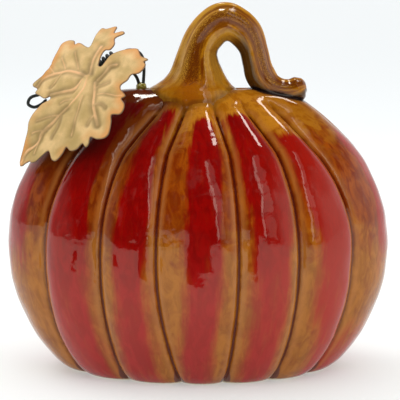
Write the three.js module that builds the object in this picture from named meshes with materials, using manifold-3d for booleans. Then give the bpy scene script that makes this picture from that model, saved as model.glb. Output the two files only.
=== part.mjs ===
// A ceramic pumpkin: a flattened, ribbed, hollow slip-cast body that stands on its flat foot, with a fluted
// ceramic stem curled over into a loop, and a stamped metal leaf and a curly tendril on two wires that are
// glued into one hole in the top. Millimetres, +Z up, front towards -Y, origin at the centre of the foot.
import * as THREE from 'three';
import { LoftGeometry } from 'three/addons/geometries/LoftGeometry.js';
import { mergeVertices } from 'three/addons/utils/BufferGeometryUtils.js';
import Module from 'manifold-3d';

const wasm = await Module();
wasm.setup();

// Driving dimensions
const HALF_WIDTH = 96; // body, along X, before the groove down each side takes about 2 off it
const HALF_DEPTH = 62; // body, along Y
const WIDEST_Z = 62;
const WALL = 5;
const GROOVE_DEPTH = 5;
const GROOVE_SHARPNESS = 2.4; // power by which the ribs' flanks steepen towards a groove
const GROOVE_FADE = [0.5, 0.62]; // share of the half-width over which the grooves deepen, from the top
const SEAT_GAP = 0.3; // between pieces that touch
const DRAIN_HOLE_RADIUS = 6;
const WIRE_RADIUS = 0.8;
const WIRE_HOLE = { x: -28.2, y: 3.3, radius: 2.4 };
const WIRE_SPREAD = 1; // from the middle of the hole to each wire
const WIRE_END_Z = 131; // inside the body
const WIRE_OUT_Z = 141; // above the hole
const LEAF_THICKNESS = 0.8;
const GLUE_BEAD = { z: 139.1, halfWidth: 3.3, halfDepth: 3, halfHeight: 3 };
const SOLDER_JOINT = { x: 0.6, y: -7.5, behind: 2.2, halfWidth: 2.6, halfDepth: 3.6, halfHeight: 2.3 };
const STEM_SIDES = 28;
const WIRE_SIDES = 8;
const HOLE_SIDES = 24;

// Body profile from the top to the edge of the foot: share of the half-width, share of the half-depth,
// height. The crown falls away sooner to the front and back than to the sides.
const BODY_PROFILE = [
  [0, 0, 137], [0.14, 0.05, 137.3], [0.27, 0.09, 139], [0.36, 0.12, 139.7], [0.45, 0.18, 138.3],
  [0.56, 0.285, 133.8], [0.65, 0.42, 127.5], [0.75, 0.58, 119.2], [0.84, 0.735, 110], [0.905, 0.85, 100],
  [0.96, 0.94, 87.5], [0.992, 0.988, 74], [1, 1, WIDEST_Z], [0.991, 0.991, 51], [0.963, 0.963, 39.5],
  [0.92, 0.92, 29], [0.865, 0.865, 19], [0.803, 0.803, 10.5], [0.745, 0.745, 4.5], [0.69, 0.69, 1.1],
  [0.645, 0.645, 0],
];
const BODY_HEIGHT = 139.7;

// Rib grooves on the front half, in degrees round from the front, at the crown, the shoulder, the widest
// height and the foot. The back half has the same ones, turned half round.
const FRONT_GROOVES = [
  [-90, -90, -90, -90], [-50, -49.8, -52.2, -59.5], [-19, -27.4, -29.6, -32.1], [-6.3, -10.9, -12.1, -7.4],
  [8.3, 11.4, 11.9, 11.4], [24.1, 29.6, 30.8, 33.2], [41.8, 46.9, 53.2, 56.4],
];
const CROWN_SHARE = 0.56; // of the half-width
const SHOULDER_SHARE = 0.8;
// Columns across one rib, from groove to groove
const RIB_COLUMNS = [0, 0.1, 0.28, 0.5, 0.72, 0.9];
const CAVITY_RIB_COLUMNS = [0, 0.3, 0.7];
const BODY_ROWS = 24;
const CAVITY_ROWS = 14;

// Stem stations along its centreline, in the XZ plane: x, z, half-width in that plane, half-depth along Y
const STEM_STATIONS = [
  [-3, 127, 23.5, 18], [-3, 136.5, 23.2, 17.6], [-2.9, 139.5, 21.9, 16.6], [-2.2, 142, 18.3, 14.8],
  [-1.3, 144.6, 15.3, 13.3], [-0.8, 147.8, 13.1, 12.1], [-0.6, 153, 10.9, 10.6], [0.4, 159, 9.3, 9.6],
  [2.2, 163.8, 8.8, 9.2], [5.2, 168, 8.9, 9], [9.8, 171.6, 9.2, 9], [14.2, 172.8, 9.2, 8.8],
  [19.2, 171, 8.5, 8.4], [23.3, 167.4, 8, 8.2], [25.9, 163, 7.3, 8], [27.6, 158.2, 6.8, 7.8],
  [28.9, 152.6, 6.8, 7.8], [30.8, 146.5, 7.3, 7.8], [34.8, 141.4, 6.8, 7.6], [40.5, 138.9, 6, 7],
  [45.5, 138.6, 5.9, 6.6], [49.2, 139.6, 6.1, 6.5], [52, 140.6, 4.6, 5], [53.4, 140.9, 2.2, 2.6],
];
const STEM_ROWS = 30;
const FOOT_SHARE = 0.22; // of the stem's stations, whose sections lie level
const STEM_FLUTES = 7;
const FLUTE_SHARE = 0.05; // of the section's radius

// The leaf's own frame: its stalk end, and the way its face looks
const LEAF_CENTRE = new THREE.Vector3(-54, -20, 145);
const LEAF_FACE = new THREE.Vector3(-0.5, -0.68, 0.53).normalize();
// Leaf blank, flat, seen from its face with the stalk end at 0,0: each lobe from one sinus to the next
const LEAF_LOBES = {
  tip: [
    [-7.5, -38], [-11.5, -41], [-14.5, -43.5], [-17, -44], [-18.5, -43.5], [-22, -44.5], [-26.3, -45],
    [-25.5, -34.5], [-25.5, -28.5], [-26.5, -24], [-25.5, -20], [-21.5, -14.5],
  ],
  left: [
    [-17.5, -11.5], [-19, -9.5], [-21, -11], [-25.5, -9.5], [-30, -7.5], [-29.5, -5.5], [-33.5, -3.5],
    [-28.5, 2.5], [-26, 8], [-25.5, 15], [-26, 21], [-23, 23], [-19, 22.5], [-16.5, 20], [-14.5, 21],
  ],
  upper: [
    [-5.5, 18], [-7.5, 27.5], [-7.5, 32], [-4.5, 31.5], [0.5, 33.5], [3, 28.5], [7, 30], [9, 28.5], [6, 25],
    [8.5, 20.5], [8, 17], [5, 16.5], [5, 10.5],
  ],
  right: [
    [5.7, 7.5], [7.5, 7], [9, 10], [10.5, 13.5], [13.5, 16], [20, 18.5], [23.5, 18.5], [27.5, 14.5],
    [32, 13], [30.5, 11.5], [32, 10], [30.5, 5.5], [26.5, 4], [25.5, 1],
  ],
  lower: [
    [23, -2], [23.5, -4], [27, -7], [25.5, -8.5], [28.5, -11.5], [29, -14], [28, -16.5], [23.5, -17.5],
    [24.5, -21], [25, -27], [23.5, -29], [19.5, -30],
  ],
  foot: [
    [15.5, -29.5], [15.5, -33], [14.5, -34.5], [12, -33], [9.5, -36], [6, -37], [3, -35.5], [1.5, -39],
    [-1.5, -42.5], [-4, -42],
  ],
};
// Sheet that the blank is cut from, and the depth of the cut, which takes in the whole of its relief
const LEAF_BLANK = { width: 70, length: 84, middle: -5, cutDepth: 40, columns: 16, rows: 20 };
const LEAF_CROWN = { height: 1.6, fall: 2.6, reach: 35 };
// The crease follows the midrib, which leans over below its bend
const LEAF_CREASE = { depth: 1.2, width: 4, x: 2, bendY: -4, lean: 0.69, fadeLow: -6, fadeHigh: 10 };
const LEAF_BEND = { depth: 3.5, start: 12, length: 16 };

// Manifold solid from a closed geometry, and back
function solidOf(geometry) {
  const bare = new THREE.BufferGeometry();
  bare.setAttribute('position', geometry.getAttribute('position'));
  bare.setIndex(geometry.index);
  const merged = mergeVertices(bare, 1e-3);
  return new wasm.Manifold(new wasm.Mesh({
    numProp: 3,
    vertProperties: merged.attributes.position.array,
    triVerts: new Uint32Array(merged.index.array),
  }));
}

function geometryOf(solid) {
  const { vertProperties, triVerts, numProp } = solid.getMesh();
  const geometry = new THREE.BufferGeometry();
  const interleaved = new THREE.InterleavedBuffer(vertProperties, numProp);
  geometry.setAttribute('position', new THREE.InterleavedBufferAttribute(interleaved, 3, 0));
  geometry.setIndex(new THREE.BufferAttribute(triVerts, 1));
  return geometry.toNonIndexed();
}

function pieceOf(name, geometry, color, roughness, metalness = 0) {
  geometry.computeVertexNormals();
  const mesh = new THREE.Mesh(geometry, new THREE.MeshStandardMaterial({ color, roughness, metalness }));
  mesh.name = name;
  return mesh;
}

// Body

function allGrooves() {
  const back = FRONT_GROOVES.map((course) => course.map((angle) => angle + 180));
  const grooves = [...FRONT_GROOVES, ...back];
  grooves.push(grooves[0].map((angle) => angle + 360));
  return grooves;
}

// Angle of one groove where the body has this share of its half-width and this height
function grooveAngle([crown, shoulder, widest, foot], share, z) {
  if (z < WIDEST_Z) return THREE.MathUtils.lerp(widest, foot, (1 - z / WIDEST_Z) ** 2);
  if (share > SHOULDER_SHARE) {
    return THREE.MathUtils.mapLinear(share, SHOULDER_SHARE, 1, shoulder, widest);
  }
  const upper = THREE.MathUtils.clamp((share - CROWN_SHARE) / (SHOULDER_SHARE - CROWN_SHARE), 0, 1);
  return THREE.MathUtils.lerp(crown, shoulder, upper);
}

// Way out of a profile that runs from the foot up, at each of its points, in the plane of the axis and one
// half-axis of the oval. It is level below the widest height, so that the foot stays flat.
function profileNormals(profile, outwards) {
  return profile.map((p, i) => {
    if (p.z < WIDEST_Z) return new THREE.Vector2(1, 0);
    const below = profile[Math.max(i - 1, 0)];
    const above = profile[Math.min(i + 1, profile.length - 1)];
    return new THREE.Vector2(above.z - below.z, outwards(below) - outwards(above)).normalize();
  });
}

// A solid with the body's outside shape, ribs and all. The lathe's columns are spread over the ribs, pressed
// into the flattened oval and pulled in towards the grooves.
function bodySolid({ inset = 0, columns = RIB_COLUMNS, rows = BODY_ROWS }) {
  const halfWidth = HALF_WIDTH - inset;
  const halfDepth = HALF_DEPTH - inset;
  const lift = Math.max(inset, 0);
  const heightShare = (BODY_HEIGHT - lift - inset) / BODY_HEIGHT;
  const outline = new THREE.CatmullRomCurve3(BODY_PROFILE.map(([side, front, z]) =>
    new THREE.Vector3(side * HALF_WIDTH, front * HALF_DEPTH, z)), false, 'centripetal');
  const profile = outline.getSpacedPoints(rows);
  profile[0].set(0, 0, profile[0].z);
  profile[rows].z = 0;
  profile.push(new THREE.Vector3(0, 0, 0));
  profile.reverse();
  const sideways = profileNormals(profile, (p) => p.x);
  const forwards = profileNormals(profile, (p) => p.y);

  const grooves = allGrooves();
  const columnCount = columns.length * (grooves.length - 1);
  const geometry = new THREE.LatheGeometry(profile.map((p) => new THREE.Vector2(p.x, p.z)), columnCount);
  const position = geometry.attributes.position;
  for (let i = 0; i < position.count; i++) {
    const row = i % profile.length;
    const column = Math.floor(i / profile.length) % columnCount;
    const rib = Math.floor(column / columns.length);
    const across = columns[column % columns.length];
    const { x, y, z } = profile[row];
    const share = x / HALF_WIDTH;
    const [from, to] = [grooves[rib], grooves[rib + 1]].map((course) => grooveAngle(course, share, z));
    const turn = THREE.MathUtils.degToRad(THREE.MathUtils.lerp(from, to, across));
    const nearGroove = Math.abs(2 * across - 1) ** GROOVE_SHARPNESS;
    const depth = GROOVE_DEPTH * nearGroove * THREE.MathUtils.smoothstep(share, ...GROOVE_FADE);
    const steep = sideways[row].clone().lerp(forwards[row], Math.cos(turn) ** 2).normalize();
    const out = new THREE.Vector2(Math.sin(turn) / halfWidth, -Math.cos(turn) / halfDepth).normalize();
    position.setXYZ(i,
      halfWidth * share * Math.sin(turn) - depth * steep.x * out.x,
      -halfDepth * (y / HALF_DEPTH) * Math.cos(turn) - depth * steep.x * out.y,
      lift + heightShare * (z - depth * steep.y));
  }
  return solidOf(geometry);
}

function verticalCylinder(radius, x, y, low, high) {
  const geometry = new THREE.CylinderGeometry(radius, radius, high - low, HOLE_SIDES);
  geometry.rotateX(Math.PI / 2).translate(x, y, (low + high) / 2);
  return solidOf(geometry);
}

function makeShell() {
  const cavity = bodySolid({ inset: WALL, columns: CAVITY_RIB_COLUMNS, rows: CAVITY_ROWS });
  const drain = verticalCylinder(DRAIN_HOLE_RADIUS, 0, 0, -WALL, 2 * WALL);
  const wireHole = verticalCylinder(
    WIRE_HOLE.radius, WIRE_HOLE.x, WIRE_HOLE.y, BODY_HEIGHT - 3 * WALL, BODY_HEIGHT + WALL);
  const shell = bodySolid({}).subtract(cavity).subtract(drain).subtract(wireHole);
  return pieceOf('pumpkin_shell', geometryOf(shell), 0x8f1c12, 0.08);
}

// Stem

function makeStem(bodyWithGap) {
  const line = new THREE.CatmullRomCurve3(STEM_STATIONS.map(([x, z]) => new THREE.Vector3(x, 0, z)));
  const sizes = new THREE.CatmullRomCurve3(STEM_STATIONS.map(([, , width, depth]) =>
    new THREE.Vector3(width, depth, 0)));
  const sections = [];
  for (let row = 0; row <= STEM_ROWS; row++) {
    const along = row / STEM_ROWS;
    const centre = line.getPoint(along);
    const tangent = along < FOOT_SHARE ? new THREE.Vector3(0, 0, 1) : line.getTangent(along);
    const { x: halfWidth, y: halfDepth } = sizes.getPoint(along);
    const flute = FLUTE_SHARE * THREE.MathUtils.smoothstep(1 - along, 0.02, 0.2);
    sections.push(Array.from({ length: STEM_SIDES }, (_, side) => {
      const angle = (2 * Math.PI * side) / STEM_SIDES;
      const swell = 1 + flute * Math.cos(STEM_FLUTES * angle);
      const sideways = halfWidth * swell * Math.cos(angle);
      return new THREE.Vector3(
        centre.x + tangent.z * sideways,
        halfDepth * swell * Math.sin(angle),
        centre.z - tangent.x * sideways);
    }));
  }
  const loft = solidOf(new LoftGeometry(sections, { capStart: true, capEnd: true }));
  return pieceOf('stem', geometryOf(loft.subtract(bodyWithGap)), 0xa8691e, 0.08);
}

// Leaf

function leafMatrix() {
  const right = new THREE.Vector3(0, 0, 1).cross(LEAF_FACE).normalize();
  const up = LEAF_FACE.clone().cross(right);
  return new THREE.Matrix4().makeBasis(right, up, LEAF_FACE).setPosition(LEAF_CENTRE);
}

// How far the stamped sheet stands off its flat plane: crowned, creased along the midrib, top lobe bent back
function leafRelief(x, y) {
  const crown = LEAF_CROWN.height - LEAF_CROWN.fall * (x * x + y * y) / LEAF_CROWN.reach ** 2;
  const midribX = LEAF_CREASE.x + LEAF_CREASE.lean * Math.min(y - LEAF_CREASE.bendY, 0);
  const fromMidrib = Math.abs(x - midribX) * Math.cos(Math.atan(LEAF_CREASE.lean));
  const crease = -LEAF_CREASE.depth * Math.exp(-fromMidrib / LEAF_CREASE.width)
    * THREE.MathUtils.smoothstep(-y, LEAF_CREASE.fadeLow, LEAF_CREASE.fadeHigh);
  const bentBack = -LEAF_BEND.depth * Math.max((y - LEAF_BEND.start) / LEAF_BEND.length, 0) ** 1.5;
  return crown + crease + bentBack;
}

function leafSheet(thickness) {
  const corners = Object.values(LEAF_LOBES).flat();
  const outline = new THREE.Shape(corners.map(([x, y]) => new THREE.Vector2(x, y)));
  const cutter = new THREE.ExtrudeGeometry(outline, { depth: LEAF_BLANK.cutDepth, bevelEnabled: false });
  cutter.translate(0, 0, -LEAF_BLANK.cutDepth / 2);
  const { width, length, middle, columns, rows } = LEAF_BLANK;
  const sheet = new THREE.BoxGeometry(width, length, thickness, columns, rows, 1);
  sheet.translate(0, middle, 0);
  const position = sheet.attributes.position;
  for (let i = 0; i < position.count; i++) {
    position.setZ(i, position.getZ(i) + leafRelief(position.getX(i), position.getY(i)));
  }
  return solidOf(sheet).intersect(solidOf(cutter));
}

function makeLeaf() {
  const leaf = pieceOf('leaf', geometryOf(leafSheet(LEAF_THICKNESS)), 0xc8a878, 0.6, 0.3);
  leaf.applyMatrix4(leafMatrix());
  return leaf;
}

// Wires

// A point by the leaf: across it, up it, and off its flat plane
function leafPoint(x, y, off) {
  return new THREE.Vector3(x, y, off).applyMatrix4(leafMatrix());
}

function leafWirePath() {
  const behind = LEAF_THICKNESS / 2 + SEAT_GAP + WIRE_RADIUS + 0.2;
  const onLeaf = [[2, -1], [1, -6.5], [-1.5, -12]].map(([x, y]) =>
    leafPoint(x, y, leafRelief(x, y) - behind));
  return new THREE.CatmullRomCurve3([
    new THREE.Vector3(WIRE_HOLE.x - WIRE_SPREAD, WIRE_HOLE.y, WIRE_END_Z),
    new THREE.Vector3(WIRE_HOLE.x - WIRE_SPREAD, WIRE_HOLE.y, WIRE_OUT_Z),
    new THREE.Vector3(-31.2, 0.5, 146.5), new THREE.Vector3(-37, -5.5, 150),
    new THREE.Vector3(-45.5, -11.5, 149.5), ...onLeaf,
  ], false, 'centripetal');
}

const COIL = {
  from: new THREE.Vector3(-40.5, 3, 155.2), to: new THREE.Vector3(-57.5, 2, 143.6),
  radius: 3.2, turns: 9, pointsPerTurn: 12,
};

// Up out of the hole, over in an arch, round the coil behind the leaf, and out in a long open end loop
function tendrilPath() {
  const axis = COIL.to.clone().sub(COIL.from);
  const along = axis.clone().normalize();
  const side = new THREE.Vector3(0, 1, 0).cross(along).normalize();
  const over = along.clone().cross(side);
  const coil = [];
  for (let i = 0; i <= COIL.turns * COIL.pointsPerTurn; i++) {
    const turn = (2 * Math.PI * i) / COIL.pointsPerTurn;
    coil.push(COIL.from.clone()
      .addScaledVector(axis, i / (COIL.turns * COIL.pointsPerTurn))
      .addScaledVector(side, -COIL.radius * Math.cos(turn))
      .addScaledVector(over, COIL.radius * Math.sin(turn)));
  }
  return new THREE.CatmullRomCurve3([
    new THREE.Vector3(WIRE_HOLE.x + WIRE_SPREAD, WIRE_HOLE.y, WIRE_END_Z),
    new THREE.Vector3(WIRE_HOLE.x + WIRE_SPREAD, WIRE_HOLE.y, WIRE_OUT_Z),
    new THREE.Vector3(-26.8, 3.5, 149), new THREE.Vector3(-27.3, 3.6, 154.5),
    new THREE.Vector3(-29.6, 3.8, 157.6), new THREE.Vector3(-33, 4.2, 158.6),
    new THREE.Vector3(-36.3, 5, 157.8),
    ...coil,
    new THREE.Vector3(-63, 2, 139.8), new THREE.Vector3(-71, 2.5, 138.2),
    new THREE.Vector3(-78.5, 2.5, 136.6), new THREE.Vector3(-83.4, 2.5, 134.8),
    new THREE.Vector3(-84.4, 2.5, 131.8), new THREE.Vector3(-81.5, 2.5, 130.3),
    new THREE.Vector3(-77.5, 2.3, 132), new THREE.Vector3(-75.2, 2, 134.2),
  ], false, 'centripetal');
}

function wireSolid(path, radius, steps) {
  const round = new THREE.Shape(Array.from({ length: WIRE_SIDES }, (_, side) => {
    const angle = (2 * Math.PI * side) / WIRE_SIDES;
    return new THREE.Vector2(radius * Math.cos(angle), radius * Math.sin(angle));
  }));
  return solidOf(new THREE.ExtrudeGeometry(round, { steps, extrudePath: path, bevelEnabled: false }));
}

function makeWire(name, path, steps) {
  return pieceOf(name, geometryOf(wireSolid(path, WIRE_RADIUS, steps)), 0x1c211d, 0.35, 0.6);
}

// Lumps that hold the wires: a bead of glue over the hole, and a spot of solder on the leaf's back

function lump(centre, halfWidth, halfDepth, halfHeight) {
  const geometry = new THREE.SphereGeometry(1, 16, 10);
  geometry.scale(halfWidth, halfDepth, halfHeight).translate(centre.x, centre.y, centre.z);
  return solidOf(geometry);
}

function makeGlueBead(bodyWithGap, fatLeafWire, fatTendril) {
  const { halfWidth, halfDepth, halfHeight, z } = GLUE_BEAD;
  const bead = lump(new THREE.Vector3(WIRE_HOLE.x, WIRE_HOLE.y, z), halfWidth, halfDepth, halfHeight)
    .subtract(bodyWithGap).subtract(fatLeafWire).subtract(fatTendril);
  return pieceOf('glue_bead', geometryOf(bead), 0x9a9440, 0.15);
}

function makeSolderJoint(fatLeafWire) {
  const inward = new THREE.Matrix4().copy(leafMatrix()).invert();
  const wire = geometryOf(fatLeafWire).applyMatrix4(inward);
  const { x, y, behind, halfWidth, halfDepth, halfHeight } = SOLDER_JOINT;
  const centre = new THREE.Vector3(x, y, leafRelief(x, y) - behind);
  const spot = lump(centre, halfWidth, halfDepth, halfHeight)
    .subtract(leafSheet(LEAF_THICKNESS + 2 * SEAT_GAP)).subtract(solidOf(wire));
  const joint = pieceOf('solder_joint', geometryOf(spot), 0x8c8c88, 0.4, 0.8);
  joint.applyMatrix4(leafMatrix());
  return joint;
}

const bodyWithGap = bodySolid({ inset: -SEAT_GAP });
const leafWire = leafWirePath();
const tendril = tendrilPath();
const LEAF_WIRE_STEPS = 30;
const TENDRIL_STEPS = 140;
const fatLeafWire = wireSolid(leafWire, WIRE_RADIUS + SEAT_GAP, LEAF_WIRE_STEPS);
const fatTendril = wireSolid(tendril, WIRE_RADIUS + SEAT_GAP, TENDRIL_STEPS);

const pumpkin = new THREE.Group();
pumpkin.add(
  makeShell(),
  makeStem(bodyWithGap),
  makeLeaf(),
  makeWire('leaf_wire', leafWire, LEAF_WIRE_STEPS),
  makeWire('tendril_wire', tendril, TENDRIL_STEPS),
  makeGlueBead(bodyWithGap, fatLeafWire, fatTendril),
  makeSolderJoint(fatLeafWire),
);

export default pumpkin;
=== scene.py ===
# A glazed ceramic pumpkin with a looped stem. A stamped metal leaf and a curly tendril stand on two wires.
# Lengths are millimetres until a mesh is made. +Z is up, and the front looks towards -Y. Colours are linear.
import math

import bmesh
import bpy
import numpy as np
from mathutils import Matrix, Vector, noise
from mathutils.geometry import delaunay_2d_cdt
from mathutils.kdtree import KDTree


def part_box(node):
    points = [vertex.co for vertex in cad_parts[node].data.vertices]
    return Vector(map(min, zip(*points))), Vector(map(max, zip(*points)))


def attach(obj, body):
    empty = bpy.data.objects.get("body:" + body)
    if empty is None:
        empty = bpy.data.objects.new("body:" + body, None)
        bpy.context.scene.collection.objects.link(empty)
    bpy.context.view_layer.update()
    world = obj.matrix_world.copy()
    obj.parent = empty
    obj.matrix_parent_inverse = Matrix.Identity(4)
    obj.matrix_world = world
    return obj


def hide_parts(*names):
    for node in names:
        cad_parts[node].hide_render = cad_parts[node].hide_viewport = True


MM = 0.001

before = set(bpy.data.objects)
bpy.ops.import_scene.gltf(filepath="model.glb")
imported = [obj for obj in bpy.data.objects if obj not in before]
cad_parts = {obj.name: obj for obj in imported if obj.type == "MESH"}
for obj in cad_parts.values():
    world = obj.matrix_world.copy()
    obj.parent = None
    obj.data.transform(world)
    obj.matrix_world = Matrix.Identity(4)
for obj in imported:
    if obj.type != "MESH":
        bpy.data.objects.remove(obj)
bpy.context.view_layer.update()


# ---- camera

CAMERA_PLACE = Vector((1.0, -742.7, 188.4)) * MM
CAMERA_DIP = math.radians(8)
LENS = 135
SENSOR_WIDTH = 36


def add_object(name, data):
    thing = bpy.data.objects.new(name, data)
    bpy.context.scene.collection.objects.link(thing)
    return thing


def make_camera():
    data = bpy.data.cameras.new("camera")
    data.lens = LENS
    data.sensor_width = SENSOR_WIDTH
    camera = add_object("camera", data)
    camera.location = CAMERA_PLACE
    camera.rotation_euler = (math.pi / 2 - CAMERA_DIP, 0, 0)
    bpy.context.scene.camera = camera


# ---- curves and meshes

def smoothstep(value, low, high):
    """0 at low and beyond it, 1 at high and beyond it. Low may be the larger one."""
    share = np.clip((np.asarray(value, float) - low) / (high - low), 0, 1)
    return share * share * (3 - 2 * share)


def spline(points, per_span):
    """Centripetal Catmull-Rom curve through the points, per_span steps from each to the next."""
    p = np.array(points, float)
    p = np.vstack([2 * p[0] - p[1], p, 2 * p[-1] - p[-2]])
    t = np.linspace(0, 1, per_span, endpoint=False)[:, None]
    spans = []
    for a, b, c, d in zip(p, p[1:], p[2:], p[3:]):
        before, here, after = (max(np.linalg.norm(v) ** 0.5, 1e-4) for v in (b - a, c - b, d - c))
        start = ((b - a) / before - (c - a) / (before + here) + (c - b) / here) * here
        end = ((c - b) / here - (d - b) / (here + after) + (d - c) / after) * here
        spans.append(
            b * (2 * t**3 - 3 * t**2 + 1) + start * (t**3 - 2 * t**2 + t)
            + c * (3 * t**2 - 2 * t**3) + end * (t**3 - t**2))
    return np.vstack(spans + [p[-2][None]])


def distance_run(curve):
    return np.concatenate([[0], np.cumsum(np.linalg.norm(np.diff(curve, axis=0), axis=1))])


def unit(vectors):
    return vectors / np.linalg.norm(vectors, axis=-1)[..., None]


def grid_of(x, y, z):
    """Points in rows and columns, from coordinates that may be the same along either."""
    return np.stack(np.broadcast_arrays(x, y, z), axis=2)


def evenly(curve, count):
    """The same curve as count points at equal distances along it."""
    travel = distance_run(curve)
    stops = np.linspace(0, travel[-1], count)
    return np.stack([np.interp(stops, travel, curve[:, i]) for i in range(curve.shape[1])], axis=1)


def lumps(points, size, seed):
    """Smooth noise from about -1 to 1 at each point, whose lumps are about size across."""
    shift = Vector((seed * 17.3, seed * 5.1, seed * 9.7))
    flat = np.asarray(points, float).reshape(-1, 3) / size
    values = np.array([noise.noise(Vector(p) + shift) for p in flat])
    return values.reshape(np.asarray(points).shape[:-1])


def link_mesh(name, vertices, faces, attributes, material):
    """A smooth-shaded mesh object, with one value or vector per vertex for each attribute."""
    mesh = bpy.data.meshes.new(name)
    mesh.from_pydata((np.asarray(vertices) * MM).tolist(), [], faces)
    for key, values in attributes.items():
        values = np.asarray(values, np.float32)
        vector = values.ndim == 2
        attribute = mesh.attributes.new(key, "FLOAT_VECTOR" if vector else "FLOAT", "POINT")
        attribute.data.foreach_set("vector" if vector else "value", values.ravel())
    work = bmesh.new()
    work.from_mesh(mesh)
    bmesh.ops.recalc_face_normals(work, faces=work.faces)
    work.to_mesh(mesh)
    work.free()
    mesh.shade_smooth()
    mesh.materials.append(material)
    return add_object(name, mesh)


def ring_surface(name, rings, attributes, material):
    """A closed surface through rings of points, with a point of its own closing each end."""
    rows, sides = rings.shape[:2]
    ends = [rings[0].mean(0), rings[-1].mean(0)]
    vertices = np.vstack([rings.reshape(-1, 3), ends])
    faces = []
    for row in range(rows - 1):
        for side in range(sides):
            after = (side + 1) % sides
            low, high = row * sides, (row + 1) * sides
            faces.append((low + side, low + after, high + after, high + side))
    first, last = rows * sides, rows * sides + 1
    for side in range(sides):
        after = (side + 1) % sides
        faces.append((first, after, side))
        faces.append((last, (rows - 1) * sides + side, (rows - 1) * sides + after))
    spread = {}
    for key, values in attributes.items():
        values = np.asarray(values, float)
        tail = np.stack([values[0].mean(0), values[-1].mean(0)])
        spread[key] = np.concatenate([values.reshape((rows * sides,) + values.shape[2:]), tail])
    return link_mesh(name, vertices, faces, spread, material)


def hand_in(piece, node):
    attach(piece, "root")
    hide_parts(node)


# ---- shader building

class Paint:
    """A new material or world, and short calls that add its nodes."""

    def __init__(self, name, kind="materials"):
        self.owner = getattr(bpy.data, kind).new(name)
        self.owner.use_nodes = True
        self.tree = self.owner.node_tree
        self.tree.nodes.clear()

    def node(self, kind, inputs=(), **settings):
        node = self.tree.nodes.new("ShaderNode" + kind)
        for key, value in settings.items():
            setattr(node, key, value)
        for key, value in dict(inputs).items():
            self.feed(node.inputs[key], value)
        return node

    def feed(self, socket, value):
        if isinstance(value, bpy.types.NodeSocket):
            self.tree.links.new(value, socket)
        elif socket.type == "RGBA":
            socket.default_value = (*value, 1.0)
        else:
            socket.default_value = value

    def fact(self, key, output="Fac"):
        """What the mesh says about each point."""
        return self.node("Attribute", attribute_name=key, attribute_type="GEOMETRY").outputs[output]

    def facts(self, *keys):
        return [self.fact(key) for key in keys]

    def math(self, operation, *values):
        return self.node("Math", enumerate(values), operation=operation).outputs[0]

    def times(self, a, b):
        return self.math("MULTIPLY", a, b)

    def plus(self, a, b):
        return self.math("ADD", a, b)

    def swing(self, noise, size):
        """The noise as a shift to both sides of zero, size from end to end."""
        return self.times(self.plus(noise, -0.5), size)

    def ramp(self, value, low, high, start=0.0, end=1.0):
        inputs = enumerate((value, low, high, start, end))
        return self.node("MapRange", inputs, interpolation_type="SMOOTHSTEP").outputs[0]

    def mix(self, share, a, b):
        return self.node("Mix", {0: share, 6: a, 7: b}, data_type="RGBA").outputs[2]

    def layered(self, tone, layers):
        """The tone with each layer's colour laid over it by that layer's share."""
        for share, colour in layers:
            tone = self.mix(share, tone, colour)
        return tone

    def tones(self, noise, pair, low=0.36, high=0.64):
        """The pair's first colour where the noise is low, passing into its second one where it is high."""
        return self.mix(self.ramp(noise, low, high), *pair)

    def separate(self, vector):
        return self.node("SeparateXYZ", {"Vector": vector}).outputs

    def stretch(self, vector, scale):
        return self.node("VectorMath", {0: vector, 1: scale}, operation="MULTIPLY").outputs[0]

    def noise(self, vector, scale, detail=3, rough=0.5, twist=0):
        inputs = {"Vector": vector, "Scale": scale, "Detail": detail, "Roughness": rough, "Distortion": twist}
        return self.node("TexNoise", inputs).outputs[0]

    def place(self):
        """The object's own coordinates, in millimetres."""
        node = self.node("TexCoord")
        return self.stretch(node.outputs["Object"], (1 / MM, 1 / MM, 1 / MM))

    def bump(self, height, depth, normal=None):
        inputs = {"Height": height, "Strength": 1.0, "Distance": depth * MM}
        if normal is not None:
            inputs["Normal"] = normal
        return self.node("Bump", inputs).outputs[0]

    def surface(self, **inputs):
        titles = {"ior": "IOR"}
        named = {titles.get(key, key.replace("_", " ").title()): value for key, value in inputs.items()}
        self.node("OutputMaterial", {0: self.node("BsdfPrincipled", named).outputs[0]})
        return self.owner


GLAZE_SHEEN = (1, 0.92, 0.78)  # of what the glaze mirrors


# ---- body

shell_low, shell_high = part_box("pumpkin_shell")
SIDE_GROOVE_LOSS = 2.2  # off each side of the round form, because a groove runs down each side
HALF_WIDTH = (shell_high.x - shell_low.x) / 2 / MM + SIDE_GROOVE_LOSS
HALF_DEPTH = (shell_high.y - shell_low.y) / 2 / MM
BODY_HEIGHT = shell_high.z / MM
WIDEST_Z = 62
WALL = 5
DRAIN_HOLE_RADIUS = 6
LOBE_DEPTH = 3.7  # of the rounded valley between two ribs
LOBE_SHARPNESS = 2.5
LINE_DEPTH = 1.0  # of the narrow line pressed along its bottom
LINE_WIDTH = 0.8
GROOVE_FADE = (0.5, 0.62)  # share of the half-width over which the grooves deepen, from the top
UNEVENNESS = 0.5
WIDEST_SETBACK = 0.3  # at the widest height, which keeps the uneven surface inside the plain one
NO_GROOVE_NEAR = 12  # distance to the nearest groove that the glaze is told where there is none
NO_CREVICE_NEAR = 20
BRUSH_RADIUS = 75  # of the round form on which the brush strokes run

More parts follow.
